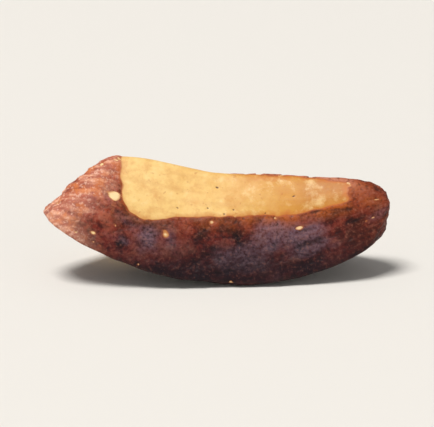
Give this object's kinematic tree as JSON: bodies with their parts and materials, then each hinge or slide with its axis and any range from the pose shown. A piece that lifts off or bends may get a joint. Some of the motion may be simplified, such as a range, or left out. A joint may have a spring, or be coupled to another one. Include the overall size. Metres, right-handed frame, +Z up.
{
  "type": "brazil nut",
  "caption": "Shelled nut kernel: a long, gently bent wedge with soft ridges, torn brown seed skin and bare cream flesh, lying on its broad outer face.",
  "frame": {"origin": "on the surface the kernel rests on, under the middle of its bounding box", "axes": "+X along the kernel from its pointed tip to its blunt butt, +Z up, -Y the side with the large rubbed patch"},
  "size_m": [0.036, 0.0132, 0.0122],
  "materials": {
    "kernel": "red-brown seed skin, matt and finely wrinkled, with rubbed cream flesh that has a faint waxy sheen"
  },
  "bodies": {
    "root": {"kernel": "kernel"}
  },
  "joints": []
}
